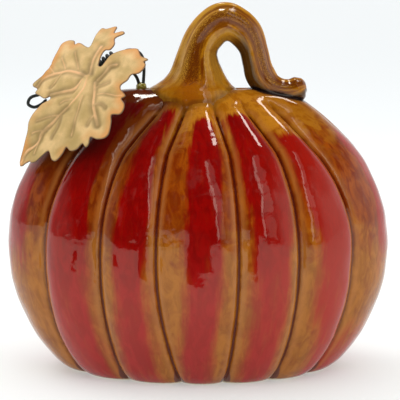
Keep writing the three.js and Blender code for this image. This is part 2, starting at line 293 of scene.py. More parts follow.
# Share of the half-width, share of the half-depth, height, from the top to the edge of the foot
BODY_PROFILE = [
    (0, 0, 137), (0.14, 0.05, 137.3), (0.27, 0.09, 139), (0.36, 0.12, 139.7), (0.45, 0.18, 138.3),
    (0.56, 0.285, 133.8), (0.65, 0.42, 127.5), (0.75, 0.58, 119.2), (0.84, 0.735, 110), (0.905, 0.85, 100),
    (0.96, 0.94, 87.5), (0.992, 0.988, 74), (1, 1, WIDEST_Z), (0.991, 0.991, 51), (0.963, 0.963, 39.5),
    (0.92, 0.92, 29), (0.865, 0.865, 19), (0.803, 0.803, 10.5), (0.745, 0.745, 4.5), (0.69, 0.69, 1.1),
    (0.645, 0.645, 0),
]
# Rib grooves on the front half, in degrees round from the front, at the crown, the shoulder, the widest
# height and the foot. The back half has the same ones, turned half round.
FRONT_GROOVES = [
    (-90, -90, -90, -90), (-50, -49.8, -52.2, -59.5), (-19, -27.4, -29.6, -32.1), (-6.3, -10.9, -12.1, -7.4),
    (8.3, 11.4, 11.9, 11.4), (24.1, 29.6, 30.8, 33.2), (41.8, 46.9, 53.2, 56.4),
]
CROWN_SHARE = 0.56
SHOULDER_SHARE = 0.8
COLUMNS_PER_RIB = 24
BODY_ROWS = 150
INNER_ROWS = 40
FLOOR_RINGS = 5
UNDER_STEM_Z = 110
NEAR_STEM_Y = 30

# Where the red band lies across a rib, 0 at one groove and 1 at the next: near the crown, at the widest
# height, at the foot. The ribs are counted from the left side, round the front.
PLAIN_BAND = ((0.3, 0.72), (0.24, 0.76), (0.2, 0.8))
RED_BANDS = {
    0: ((0.2, 0.6), (0.15, 0.78), (0.1, 0.55)),
    1: ((0.05, 0.7), (0.07, 0.86), (0.03, 0.88)),
    2: ((0.34, 0.78), (0.29, 0.87), (0.14, 0.72)),
    3: ((0.34, 0.84), (0.35, 0.79), (0.14, 0.69)),
    4: ((0.1, 0.92), (0.2, 0.82), (0.22, 0.78)),
    5: ((0.15, 0.9), (0.26, 0.92), (0.46, 1.0)),
    6: ((0.5, 0.9), (0.4, 0.9), (-0.1, 0.6)),
}
CROWN_BAND_HEIGHTS = (70, 115)  # over which the red passes to its place near the crown
FOOT_BAND_HEIGHTS = (50, 5)
RED_CORNER = 4.0  # radius of the band's upper corners
MM_PER_SHARE = 100  # of the half-width, on the crown
WELL_BELOW_CROWN = 40
# Heights between which a rib has no red
RED_GAPS = {0: (-20, 60), 6: (20, 62)}
NO_GAP = (-99, -98)
GAP_BLUR = 3
# Share of the half-width at which a rib's red begins, below the amber crown
RED_STARTS = {0: 0.58, 1: 0.56, 2: 0.6, 3: 0.655, 4: 0.63, 5: 0.74, 6: 0.74}
PLAIN_RED_START = 0.64
# How golden a rib's amber crown is, where it isn't fully golden. Low values also paint shade on the upper
# left ribs, under the leaf: a brown crown, darker amber and the painted leaf shadow.
CROWN_GOLD_AND_SHADE = {0: 0.0, 1: 0.0, 2: 0.42, 6: 0.6, 7: 0.6, 13: 0.3}


def all_grooves():
    """Every groove's course in order round the body, with the first one again at the end."""
    courses = np.array(FRONT_GROOVES, float)
    return np.vstack([courses, courses + 180, courses[:1] + 360])


GROOVES = all_grooves()
RIBS = len(GROOVES) - 1


def groove_angles(share, height):
    """Angle of each groove, one row for each share of the half-width and height, in degrees."""
    crown, shoulder, widest, foot = (GROOVES[None, :, i] for i in range(4))
    lower = widest + (foot - widest) * (1 - height / WIDEST_Z) ** 2
    middle = shoulder + (widest - shoulder) * (share - SHOULDER_SHARE) / (1 - SHOULDER_SHARE)
    upper_share = np.clip((share - CROWN_SHARE) / (SHOULDER_SHARE - CROWN_SHARE), 0, 1)
    upper = crown + (shoulder - crown) * upper_share
    return np.where(height < WIDEST_Z, lower, np.where(share > SHOULDER_SHARE, middle, upper))


def body_profile(count):
    """Share of the half-width, of the half-depth, height and distance run from the top, at count points."""
    points = evenly(spline([(s * HALF_WIDTH, f * HALF_DEPTH, z) for s, f, z in BODY_PROFILE], 24), count)
    return points[:, 0] / HALF_WIDTH, points[:, 1] / HALF_DEPTH, points[:, 2], distance_run(points)


def surface_normals(points):
    """Way out at each point of the rings, level below the widest height so that the foot stays flat."""
    down = np.gradient(points, axis=0)
    round_it = np.roll(points, -1, axis=1) - np.roll(points, 1, axis=1)
    normals = np.cross(down, round_it)
    normals[..., 2] *= points[..., 2] > WIDEST_Z
    normals[:2] = (0, 0, 1)
    return unit(normals)


def body_rings(rows, inset=0.0):
    """Rings of the ribbed surface from the top to the edge of the foot, and what the glaze needs to know."""
    share, front, height, run = (v[:, None] for v in body_profile(rows))
    column = np.arange(RIBS * COLUMNS_PER_RIB)
    rib = column // COLUMNS_PER_RIB
    step = column % COLUMNS_PER_RIB / COLUMNS_PER_RIB
    across = (0.5 - 0.5 * np.cos(np.pi * step))[None]
    angles = np.radians(groove_angles(share, height))
    start, end = angles[:, rib], angles[:, rib + 1]
    turn = start + (end - start) * across

    half_width, half_depth = HALF_WIDTH - inset, HALF_DEPTH - inset
    points = grid_of(half_width * share * np.sin(turn), -half_depth * front * np.cos(turn), height)
    normals = surface_normals(points)
    rib_width = np.hypot(
        half_width * share * (np.sin(end) - np.sin(start)),
        half_depth * front * (np.cos(end) - np.cos(start)))
    groove_mm = np.minimum(across, 1 - across) * rib_width
    fade = smoothstep(share, *GROOVE_FADE)
    depth = fade * (LOBE_DEPTH * np.abs(2 * across - 1) ** LOBE_SHARPNESS
                    + LINE_DEPTH * np.exp(-(groove_mm / LINE_WIDTH) ** 2))
    uneven = UNEVENNESS * (lumps(points, 26, 1) + 0.35 * lumps(points, 9, 2))
    uneven = uneven * smoothstep(height, 1, 8) - WIDEST_SETBACK * smoothstep(share, 0.98, 1.0)
    points = points + normals * (uneven - depth)[..., None]
    if inset:
        points[..., 2] = WALL + points[..., 2] * (1 - 2 * WALL / BODY_HEIGHT)
    facts = {
        "brush": grid_of(BRUSH_RADIUS * np.sin(turn), -BRUSH_RADIUS * np.cos(turn), run),
        "groove_mm": groove_mm + NO_GROOVE_NEAR * (1 - fade),
        "red_mm": red_band(rib, across, rib_width, share, height),
        "gold_and_shade": crown_gold_and_shade(rib, across) + 0 * turn,
        "bare": np.full_like(turn, 1.0 if inset else 0.0),
        "crevice_mm": np.full_like(turn, NO_CREVICE_NEAR),
    }
    return points, facts


def crown_gold_and_shade(rib, across):
    """How golden the crown is, low where painted shade darkens it, passing smoothly from the middle of one
    rib to the middle of the next.
    """
    gold_and_shade = np.array([CROWN_GOLD_AND_SHADE.get(i, 1.0) for i in range(RIBS)])
    near = np.where(across > 0.5, gold_and_shade[(rib + 1) % RIBS], gold_and_shade[rib - 1])
    return gold_and_shade[rib] + (near - gold_and_shade[rib]) * np.abs(across - 0.5)


def red_band(rib, across, rib_width, share, height):
    """How far inside the red band's edge each point lies, in millimetres, below zero outside it."""
    keys = np.array([RED_BANDS.get(i, PLAIN_BAND) for i in range(RIBS)])
    starts = np.array([RED_STARTS.get(i, PLAIN_RED_START) for i in range(RIBS)])
    crown = smoothstep(height, *CROWN_BAND_HEIGHTS)
    foot = smoothstep(height, *FOOT_BAND_HEIGHTS)
    side = [
        keys[rib, 0, i] * crown + keys[rib, 2, i] * foot + keys[rib, 1, i] * (1 - crown - foot)
        for i in (0, 1)
    ]
    inside = np.minimum(across - side[0], side[1] - across) * rib_width
    upper = (share > 0) * (height > WIDEST_Z)
    below_crown = np.where(upper, (share - starts[rib]) * MM_PER_SHARE, WELL_BELOW_CROWN)
    rounded = RED_CORNER - np.hypot(
        np.clip(RED_CORNER - inside, 0, None), np.clip(RED_CORNER - below_crown, 0, None))
    gaps = np.array([RED_GAPS.get(i, NO_GAP) for i in range(RIBS)])
    out_of_gap = np.maximum(gaps[rib, 0] - height, height - gaps[rib, 1]) / GAP_BLUR
    return np.minimum(np.minimum(rounded, out_of_gap), np.minimum(inside, below_crown))


# Tones that a noise passes between
LOW_AMBER = (0.27, 0.08, 0.003), (0.38, 0.125, 0.009)
LEFT_AMBER = (0.13, 0.012, 0.001), (0.25, 0.045, 0.003)
RIGHT_AMBER = (0.2, 0.022, 0.001), (0.33, 0.065, 0.002)
GOLDEN_CROWN = (0.36, 0.11, 0.003), (0.6, 0.24, 0.014)
HIGH_RED = (0.19, 0.0012, 0.001), (0.26, 0.0016, 0.001)
LOW_RED = (0.28, 0.003, 0.003), (0.34, 0.005, 0.006)
BARE_CLAY = (0.55, 0.45, 0.3), (0.66, 0.56, 0.4)
# Single tones
# Brown crown, painted shade on the ribs under the leaf
SHADED_BROWN_CROWN = (0.1, 0.014, 0.001)
AMBER_BLOTCH = (0.2, 0.035, 0.002)
AMBER_FLECK = (0.13, 0.022, 0.002)
RED_STREAK = (0.27, 0.012, 0.002)
RED_RIGHT = (0.36, 0.012, 0.004)
# Painted shadow of the leaf on the upper left ribs, laid over the red and over the amber
LEAF_SHADOW_RED = (0.075, 0.002, 0.001)
LEAF_SHADOW_AMBER = (0.13, 0.017, 0.001)
# Lighter tan beside each groove line: glaze thinning on the edge, with a painted highlight along it
THIN_GLAZE_AND_HIGHLIGHT = (0.46, 0.17, 0.035)
LINE_LOW = (0.14, 0.035, 0.025)
LINE_HIGH = (0.12, 0.009, 0.002)
# Painted shadow in the crevice where the stem meets the body
STEM_SEAM_SHADOW = (0.02, 0.008, 0.006)
# Heights over which one tone passes into the next, from the first number to the second
AMBER_TO_MIDDLE = (58, 86)
AMBER_TO_CROWN = (110, 127)
RED_TO_LOW = (75, 40)
# Heights over which the painted leaf shadow comes in
LEAF_SHADOW_RISE = (88, 118)
LINE_RISE = (60, 90)
GLAZE_END = (1.1, 0.7)


def amber_glaze(paint, height, gold_and_shade, mottle, blotch, speck):
    """Yellow amber low down, brown in the middle, and a crown that is golden, and brown where gold_and_shade
    is low, which on the upper left ribs is painted shade.
    """
    middle = paint.mix(gold_and_shade, paint.tones(mottle, LEFT_AMBER), paint.tones(mottle, RIGHT_AMBER))
    crown = paint.mix(gold_and_shade, SHADED_BROWN_CROWN, paint.tones(blotch, GOLDEN_CROWN))
    drift = paint.swing(blotch, 60.0)
    to_middle = paint.ramp(paint.plus(height, drift), *AMBER_TO_MIDDLE)
    amber = paint.mix(to_middle, paint.tones(mottle, LOW_AMBER), middle)
    amber = paint.mix(paint.ramp(paint.plus(height, paint.times(drift, 0.5)), *AMBER_TO_CROWN), amber, crown)
    amber = paint.mix(paint.ramp(blotch, 0.46, 0.7, 0.0, 0.5), amber, AMBER_BLOTCH)
    flecks = paint.times(paint.ramp(speck, 0.57, 0.68), paint.ramp(height, 50, 130, 0.2, 0.65))
    return paint.mix(flecks, amber, AMBER_FLECK)


def red_glaze(paint, across, height, mottle, fine_streak):
    """Deep red above, paler and pinker low down, and warmer towards the right."""
    deep = paint.tones(mottle, HIGH_RED, 0.35, 0.65)
    deep = paint.mix(paint.ramp(fine_streak, 0.5, 0.75, 0.0, 0.35), deep, RED_STREAK)
    deep = paint.mix(paint.ramp(height, *RED_TO_LOW), deep, paint.tones(mottle, LOW_RED, 0.38, 0.62))
    return paint.mix(paint.ramp(across, 15, 60, 0.0, 0.6), deep, RED_RIGHT)


def glaze_material():
    paint = Paint("body_glaze")
    brush = paint.fact("brush", "Vector")
    groove, red, gold_and_shade, crevice, bare = paint.facts("groove_mm", "red_mm", "gold_and_shade", "crevice_mm", "bare")
    place = paint.place()
    across, _, height = paint.separate(place)

    fine_streak = paint.noise(paint.stretch(brush, (1, 1, 0.12)), 0.6, 5, 0.6, 0.5)
    mottle = paint.noise(paint.stretch(brush, (1, 1, 0.35)), 0.26, 4, 0.6, 0.8)
    broad_streak = paint.noise(paint.stretch(brush, (1, 1, 0.16)), 0.22)
    blotch = paint.noise(brush, 0.11, 4, 0.55, 0.6)
    speck = paint.noise(paint.stretch(brush, (1, 1, 0.35)), 1.5, 6, 0.75)

    # Painted shadow of the leaf: the upper part of the ribs whose crowns are painted shaded turns dark
    painted_leaf_shadow = paint.times(paint.ramp(height, *LEAF_SHADOW_RISE), paint.ramp(gold_and_shade, 0.6, 0.1, 0.0, 0.7))
    deep = paint.mix(painted_leaf_shadow, red_glaze(paint, across, height, mottle, fine_streak), LEAF_SHADOW_RED)
    amber = paint.mix(painted_leaf_shadow, amber_glaze(paint, height, gold_and_shade, mottle, blotch, speck), LEAF_SHADOW_AMBER)
    wander = paint.plus(paint.swing(broad_streak, 9.0), paint.swing(fine_streak, 5.0))
    softness = paint.ramp(height, 90, 45, 1.5, 4.5)
    share = paint.math("DIVIDE", paint.plus(red, wander), softness)
    glaze = paint.mix(paint.ramp(share, -1.0, 1.0), amber, deep)

    # Lighter strip beside each groove line: glaze thinning and a painted highlight together
    beside_line = paint.times(paint.ramp(groove, 0.8, 1.8), paint.ramp(groove, 4.5, 1.8))
    glaze = paint.mix(paint.times(beside_line, 0.4), glaze, THIN_GLAZE_AND_HIGHLIGHT)
    pool = paint.ramp(height, 9.0, 0.5, 0.0, 1.9)
    pool_edge = paint.plus(pool, paint.swing(speck, 0.8))
    line = paint.ramp(paint.math("SUBTRACT", groove, pool_edge), 0.25, 0.95, 0.95, 0.0)
    glaze = paint.mix(line, glaze, paint.mix(paint.ramp(height, *LINE_RISE), LINE_LOW, LINE_HIGH))
    # Painted contact shadow: dark close to the stem, strongest under its right leg
    seam_shadow = paint.ramp(crevice, 3.0, 1.0)
    glaze = paint.mix(paint.times(seam_shadow, paint.ramp(across, 20, 26, 0.3, 1.0)), glaze, STEM_SEAM_SHADOW)

    glaze_end = paint.ramp(paint.plus(height, paint.swing(fine_streak, 1.2)), *GLAZE_END)
    uncovered = paint.math("MAXIMUM", bare, glaze_end)
    clay = paint.mix(paint.noise(place, 0.6, 4, 0.6), *BARE_CLAY)
    orange_peel = paint.bump(paint.noise(place, 0.55, 2), 0.025)
    ripple = paint.bump(paint.noise(place, 0.1, 2), 0.3, orange_peel)
    return paint.surface(
        base_color=paint.mix(uncovered, glaze, clay),
        roughness=paint.ramp(uncovered, 0, 1, 0.07, 0.75),
        ior=1.52,
        specular_tint=GLAZE_SHEEN,
        normal=paint.bump(paint.noise(place, 0.045, 1), 1.0, ripple),
    )


def nearest_distance(rings, others):
    """Distance from each ring point to the nearest of the other points."""
    tree = KDTree(len(others))
    for i, point in enumerate(others):
        tree.insert(point, i)
    tree.balance()
    near = [tree.find(point)[2] for point in rings.reshape(-1, 3)]
    return np.array(near).reshape(rings.shape[:2])


def body_surface_points():
    """Points of the body's top, where the stem stands."""
    points = body_rings(BODY_ROWS)[0].reshape(-1, 3)
    return points[(points[:, 2] > UNDER_STEM_Z) & (np.abs(points[:, 1]) < NEAR_STEM_Y)]


def make_body(stem_rings):
    """The hollow shell: down its outside, across the foot to the drain hole, and up its inside to the top."""
    outer, outer_facts = body_rings(BODY_ROWS)
    inner, inner_facts = body_rings(INNER_ROWS, inset=WALL)
    under_stem = outer[..., 2] > UNDER_STEM_Z
    close = nearest_distance(outer[under_stem][None], stem_rings.reshape(-1, 3))
    outer_facts["crevice_mm"][under_stem] = close[0]
    edge = outer[-1]
    angle = np.arctan2(edge[:, 1], edge[:, 0])
    hole = np.stack([DRAIN_HOLE_RADIUS * np.cos(angle), DRAIN_HOLE_RADIUS * np.sin(angle), 0 * angle], axis=1)
    shares = np.linspace(0, 1, FLOOR_RINGS + 1)[1:, None, None]
    foot = edge[None] * (1 - shares) + hole[None] * shares
    hole_top = hole + np.array([0, 0, WALL])
    rings = np.concatenate([outer, foot, hole_top[None], inner[::-1]])
    facts = {}
    for key, values in outer_facts.items():
        bottom = np.repeat(values[-1:], FLOOR_RINGS + 1, axis=0)
        if key == "bare":
            bottom = np.ones_like(bottom)
        facts[key] = np.concatenate([values, bottom, inner_facts[key][::-1]])
    body = ring_surface("pumpkin_body", rings, facts, glaze_material())
    hand_in(body, "pumpkin_shell")


# ---- stem

# Stations along the stem's centreline, in the XZ plane: x, z, half-width in that plane, half-depth along Y
STEM_STATIONS = [
    (-3, 127, 23.5, 18), (-3, 136.5, 23.2, 17.6), (-2.9, 139.5, 21.9, 16.6), (-2.2, 142, 18.3, 14.8),
    (-1.3, 144.6, 15.3, 13.3), (-0.8, 147.8, 13.1, 12.1), (-0.6, 153, 10.9, 10.6), (0.4, 159, 9.3, 9.6),
    (2.2, 163.8, 8.8, 9.2), (5.2, 168, 8.9, 9), (9.8, 171.6, 9.2, 9), (14.2, 172.8, 9.2, 8.8),
    (19.2, 171, 8.5, 8.4), (23.3, 167.4, 8, 8.2), (25.9, 163, 7.3, 8), (27.6, 158.2, 6.8, 7.8),
    (28.9, 152.6, 6.8, 7.8), (30.8, 146.5, 7.3, 7.8), (34.8, 141.4, 6.8, 7.6), (40.5, 138.9, 6, 7),
    (45.5, 138.6, 5.9, 6.6), (49.2, 139.6, 6.1, 6.5), (52, 140.6, 4.6, 5), (53.4, 140.9, 2.2, 2.6),
]
FOOT_SHARES = (0.22, 0.3)  # of the stations, over which the sections pass from level to square across
FLUTES = 7
FLUTE_SHARE = 0.04
FLUTE_FRONT = 1.5 * math.pi  # angle round the stem of its front, where one valley lies
STREAK_SWING = 0.7  # how far the brown streak moves outwards from the front by the tip, in radians
STREAK_WIDTH = 0.32
STEM_STEPS = 9  # rings from each station to the next
STEM_SIDES = 112
SOFT_REACH = 18  # rings to each side over which the loop is evened out
STEM_UNEVENNESS = 0.35
STEM_BRUSH_RADIUS = 9


def soften_loop(rings, inner):
    """The rings with the side towards the loop's hole evened out along the stem, which rounds the hole."""
    reach = 2 * SOFT_REACH
    weights = np.exp(-(np.arange(-reach, reach + 1) / SOFT_REACH) ** 2)
    padded = np.concatenate([rings[:1]] * reach + [rings] + [rings[-1:]] * reach)
    count = len(rings)
    even = sum(w * padded[i:i + count] for i, w in enumerate(weights)) / weights.sum()
    along = np.linspace(0, 1, count)
    apex = smoothstep(along, 0.3, 0.42) * smoothstep(along, 0.66, 0.54)
    share = apex[:, None] * smoothstep(inner, 0.2, 0.9)[None]
    return rings + (even - rings) * share[..., None]


def make_stem():
    """The fluted stem, whose rings the body needs to find the crevice round its foot."""
    line = spline([(x, 0, z) for x, z, _, _ in STEM_STATIONS], STEM_STEPS)
    sizes = spline([(w, d, 0) for _, _, w, d in STEM_STATIONS], STEM_STEPS)
    along = np.linspace(0, 1, len(line))
    level = smoothstep(along, *FOOT_SHARES)[:, None]
    ahead = unit(unit(np.gradient(line, axis=0)) * level + np.array([0, 0, 1]) * (1 - level))
    angle = 2 * np.pi * np.arange(STEM_SIDES) / STEM_SIDES
    flute = -np.cos(FLUTES * (angle - FLUTE_FRONT))[None] * np.ones((len(line), 1))
    shape = np.sign(flute) * np.abs(flute) ** 0.8
    strength = smoothstep(1 - along, 0.03, 0.2) * smoothstep(along, 0.05, 0.2)
    swell = 1 + FLUTE_SHARE * strength[:, None] * shape
    sideways = sizes[:, :1] * swell * np.cos(angle)
    rings = grid_of(
        line[:, :1] + ahead[:, 2:] * sideways,
        sizes[:, 1:2] * swell * np.sin(angle),
        line[:, 2:] - ahead[:, :1] * sideways)
    rings = soften_loop(rings, np.cos(angle))
    rings = rings + unit(rings - line[:, None, :]) * (STEM_UNEVENNESS * lumps(rings, 11, 3))[..., None]
    run = distance_run(line)[:, None]
    from_streak = angle[None] - FLUTE_FRONT + STREAK_SWING * along[:, None]
    facts = {
        "brush": grid_of(STEM_BRUSH_RADIUS * np.cos(angle), STEM_BRUSH_RADIUS * np.sin(angle), run),
        "flute": flute * strength[:, None],
        "inner": np.cos(angle)[None] * np.ones_like(flute),
        "along": along[:, None] * np.ones_like(flute),
        "brown_streak": np.exp(-(from_streak / STREAK_WIDTH) ** 2),
        "crevice_mm": nearest_distance(rings, body_surface_points()),
    }
    stem = ring_surface("stem_loop", rings, facts, stem_material())
    hand_in(stem, "stem")
    return rings


STEM_AMBER = (0.15, 0.03, 0.001), (0.45, 0.175, 0.004)
FOOT_GOLD = (0.28, 0.075, 0.002), (0.5, 0.21, 0.006)
RIDGE_GOLD = (0.52, 0.26, 0.025)
VALLEY_BROWN = (0.13, 0.026, 0.001)
# Painted highlight on the outer flank of the left leg
FLANK_HIGHLIGHT = (0.52, 0.27, 0.04)
RIM_GOLD = (0.5, 0.25, 0.03)
INNER_LINE_BROWN = (0.07, 0.025, 0.003)
STEM_BLOTCH = (0.24, 0.06, 0.002)
STREAK_POOL = (0.3, 0.07, 0.002)
STREAK_BROWN = (0.11, 0.022, 0.002)
# Painted shade on the inner side of the right leg and the underside of its tip
UNDERSIDE_SHADE = (0.055, 0.02, 0.003)
# Painted shadow where the stem meets the body
CREVICE_SHADOW = (0.012, 0.006, 0.006)


def stem_material():
    """Streaky amber, golden on the ridges, brown in the valleys and the streak. The outer flank is lighter
    gold as a painted highlight, the side below is painted shade, and a painted shadow darkens it where it
    meets the body.
    """
    paint = Paint("stem_glaze")
    brush = paint.fact("brush", "Vector")
    flute, inner, along = paint.facts("flute", "inner", "along")
    brown_streak, crevice = paint.facts("brown_streak", "crevice_mm")
    streak = paint.noise(paint.stretch(brush, (1, 1, 0.09)), 0.55, 5, 0.65, 0.3)
    blotch = paint.noise(brush, 0.16, 4, 0.55, 0.5)
    speck = paint.noise(paint.stretch(brush, (1, 1, 0.6)), 3.2, 5, 0.7)

    ridge = paint.ramp(paint.plus(flute, paint.swing(streak, 1.8)), 0.1, 0.9, 0.0, 0.6)
    valley = paint.ramp(paint.plus(flute, paint.swing(streak, 1.6)), -0.2, -0.9, 0.0, 0.6)
    # Painted highlight: lighter gold down the outer flank of the left leg, broken by the streaks
    flank = paint.times(paint.ramp(inner, -0.25, -0.6), paint.ramp(along, 0.55, 0.4))
    flank = paint.times(flank, paint.ramp(streak, 0.36, 0.58, 0.15, 0.75))
    rim = paint.times(paint.ramp(inner, 0.25, 0.6), paint.ramp(along, 0.6, 0.5, 0.0, 0.55))
    inner_line = paint.times(paint.ramp(inner, 0.86, 0.97), paint.ramp(along, 0.2, 0.3, 0.0, 0.85))
    foot = paint.times(paint.ramp(along, 0.24, 0.12), paint.ramp(blotch, 0.4, 0.6, 0.25, 1.0))
    pooled = paint.times(brown_streak, paint.ramp(along, 0.24, 0.16, 0.0, 0.75))
    strong = paint.times(brown_streak, paint.ramp(along, 0.1, 0.22))
    grainy = paint.ramp(paint.plus(speck, paint.times(strong, 0.15)), 0.5, 0.66)
    grainy = paint.times(grainy, paint.ramp(strong, 0.0, 0.5, 0.25, 0.95))
    # Painted shade: dark brown on the side of the right leg that faces the hole and the body below
    under = paint.times(paint.ramp(inner, 0.1, 0.42), paint.ramp(along, 0.5, 0.62, 0.0, 0.92))
    # Painted contact shadow, dark where the stem lies close to the body
    seam_shadow = paint.ramp(crevice, 2.2, 0.8)
    seam_shadow = paint.times(seam_shadow, paint.ramp(along, 0.3, 0.7, 0.35, 1.0))
    layers = [
        (ridge, RIDGE_GOLD), (valley, VALLEY_BROWN), (flank, FLANK_HIGHLIGHT), (rim, RIM_GOLD),
        (inner_line, INNER_LINE_BROWN), (foot, paint.mix(streak, *FOOT_GOLD)),
        (paint.ramp(blotch, 0.5, 0.7, 0.0, 0.4), STEM_BLOTCH), (pooled, STREAK_POOL), (grainy, STREAK_BROWN),
        (under, UNDERSIDE_SHADE), (seam_shadow, CREVICE_SHADOW),
    ]
    glaze = paint.layered(paint.tones(streak, STEM_AMBER, 0.38, 0.62), layers)
    relief = paint.bump(paint.noise(paint.place(), 0.18, 2), 0.25, paint.bump(streak, 0.06))
    return paint.surface(
        base_color=glaze, roughness=0.06, ior=1.5, specular_tint=GLAZE_SHEEN, normal=relief)


# ---- leaf

LEAF_CENTRE = np.array([-54.0, -20.0, 145.0])
LEAF_FACE = unit(np.array([-0.5, -0.68, 0.53]))
LEAF_RIGHT = unit(np.cross([0, 0, 1], LEAF_FACE))
LEAF_UP = np.cross(LEAF_FACE, LEAF_RIGHT)
LEAF_THICKNESS = 0.7
LEAF_LIP = 0.18  # how far the edge bulges, which rounds it
LEAF_SPACING = 0.6  # of the points that fill it
LEAF_CROWN = 1.6  # height of its middle
LEAF_DROOP = 2.6  # below that at LEAF_REACH
LEAF_REACH = 35
BEND_DEPTH = 3.5  # by which the upper lobe bends back over BEND_LENGTH
BEND_LENGTH = 16
CREASE_DEPTH = 1.2
CREASE_WIDTH = 4
CREASE_LEAN = 0.69  # how far the crease along the midrib goes sideways for each step up
CREASE_COSINE = 0.82
VEIN_HEIGHT = 0.85
GULLY_DEPTH = 1.4  # beside the veins
WAVE_HEIGHT = 0.9
LEAF_WIRE_BEHIND = [(2, -1), (1, -6.5), (-1.5, -12)]  # where its wire runs, on the flat leaf

# Leaf blank, flat, seen from its face with the stalk end at 0,0: each lobe from one sinus to the next
LEAF_LOBES = {
    "tip": [
        (-7.5, -38), (-11.5, -41), (-14.5, -43.5), (-17, -44), (-18.5, -43.5), (-22, -44.5), (-26.3, -45),
        (-25.5, -34.5), (-25.5, -28.5), (-26.5, -24), (-25.5, -20), (-21.5, -14.5),
    ],
    "left": [
        (-17.5, -11.5), (-19, -9.5), (-21, -11), (-25.5, -9.5), (-30, -7.5), (-29.5, -5.5), (-33.5, -3.5),
        (-28.5, 2.5), (-26, 8), (-25.5, 15), (-26, 21), (-23, 23), (-19, 22.5), (-16.5, 20), (-14.5, 21),
    ],
    "upper": [
        (-5.5, 18), (-7.5, 27.5), (-7.5, 32), (-4.5, 31.5), (0.5, 33.5), (3, 28.5), (7, 30), (9, 28.5),
        (6, 25), (8.5, 20.5), (8, 17), (5, 16.5), (5, 10.5),
    ],
    "right": [
        (5.7, 7.5), (7.5, 7), (9, 10), (10.5, 13.5), (13.5, 16), (20, 18.5), (23.5, 18.5), (27.5, 14.5),
        (32, 13), (30.5, 11.5), (32, 10), (30.5, 5.5), (26.5, 4), (25.5, 1),
    ],
    "lower": [
        (23, -2), (23.5, -4), (27, -7), (25.5, -8.5), (28.5, -11.5), (29, -14), (28, -16.5), (23.5, -17.5),
        (24.5, -21), (25, -27), (23.5, -29), (19.5, -30),
    ],
    "foot": [
        (15.5, -29.5), (15.5, -33), (14.5, -34.5), (12, -33), (9.5, -36), (6, -37), (3, -35.5), (1.5, -39),
        (-1.5, -42.5), (-4, -42),
    ],
}
MAIN_VEINS = [
    [(2, 2), (2, -4.5), (0.5, -8), (-2, -12.5), (-7.5, -18), (-12, -23.5), (-16.5, -29), (-17, -33.5),
     (-23, -38), (-25.5, -44)],
    [(2, 1), (-4, 3), (-10.5, 4), (-16, 3.5), (-22.5, 2.5), (-27, 0), (-31, -6)],
    [(-1, -0.5), (-4.5, -5), (-10, -7), (-18, -9)],
    [(7, -1.5), (8.5, -6), (10, -11), (13, -17), (17, -23)],
    [(8, 0), (10.5, 3), (12.5, 7.5), (15.5, 9)],
    [(2.5, 2), (0.5, 10), (1, 19)],
]
SIDE_VEINS = [
    [(3, -9), (3, -15), (3, -21.5), (3.5, -29.5)],
    [(8.5, -4), (15.5, -1)],
    [(11, -7.5), (14.5, -7), (22, -7.5), (25.5, -7)],
    [(-14.5, 5), (-20, 11.5)],
    [(-6.5, 5.5), (-13, 15)],
    [(-22, 3.5), (-26.5, 6.5)],
    [(-15.5, 3.5), (-20, -5)],
    [(-7.5, -18), (-6, -23.5), (-8.5, -31)],
    [(-8.5, -19), (-18, -21.5), (-21.5, -23)],
    [(-13.5, -26.5), (-22, -29.5)],
    [(-16.5, -33), (-17, -39.5)],
    [(-2.5, -11), (-7, -11.5), (-9.5, -13.5)],
    [(11.5, -13), (15.5, -12.5), (18.5, -14)],
    [(13, -18.5), (11.5, -23.5)],
]


def leaf_sheet_height(x, y):
    """How far the stamped sheet stands off its flat plane, before its veins."""
    crown = LEAF_CROWN - LEAF_DROOP * (x * x + y * y) / LEAF_REACH**2
    from_midrib = CREASE_COSINE * np.abs(x - 2 - CREASE_LEAN * np.minimum(y + 4, 0))
    crease = -CREASE_DEPTH * np.exp(-from_midrib / CREASE_WIDTH) * smoothstep(y, 6, -10)
    bent_back = -BEND_DEPTH * np.clip((y - 12) / BEND_LENGTH, 0, None) ** 1.5
    return crown + crease + bent_back


def leaf_to_space(x, y, off):
    x, y, off = (np.asarray(v, float)[..., None] for v in (x, y, off))
    return LEAF_CENTRE + x * LEAF_RIGHT + y * LEAF_UP + off * LEAF_FACE


def distance_to_lines(points, lines):
    """Distance from each 2-D point to the nearest of the lines, each a list of points."""
    nearest = np.full(len(points), 1e9)
    for line in lines:
        for a, b in zip(line, line[1:]):
            span = b - a
            share = np.clip(((points - a) @ span) / (span @ span), 0, 1)
            foot = a + share[:, None] * span
            nearest = np.minimum(nearest, np.linalg.norm(points - foot, axis=1))
    return nearest


def inside_outline(points, outline):
    inside = np.zeros(len(points), bool)
    after = np.roll(outline, -1, axis=0)
    for (ax, ay), (bx, by) in zip(outline, after):
        crosses = (points[:, 1] < ay) != (points[:, 1] < by)
        if ay != by:
            inside ^= crosses & (points[:, 0] < (bx - ax) * (points[:, 1] - ay) / (by - ay) + ax)
    return inside


def leaf_outline():
    """The rim as one open run of points, the first of which follows the last."""
    corners = np.array([p for lobe in LEAF_LOBES.values() for p in lobe], float)
    looped = np.vstack([corners[-1:], corners, corners[:2]])
    return spline(looped, 5)[5:-6]


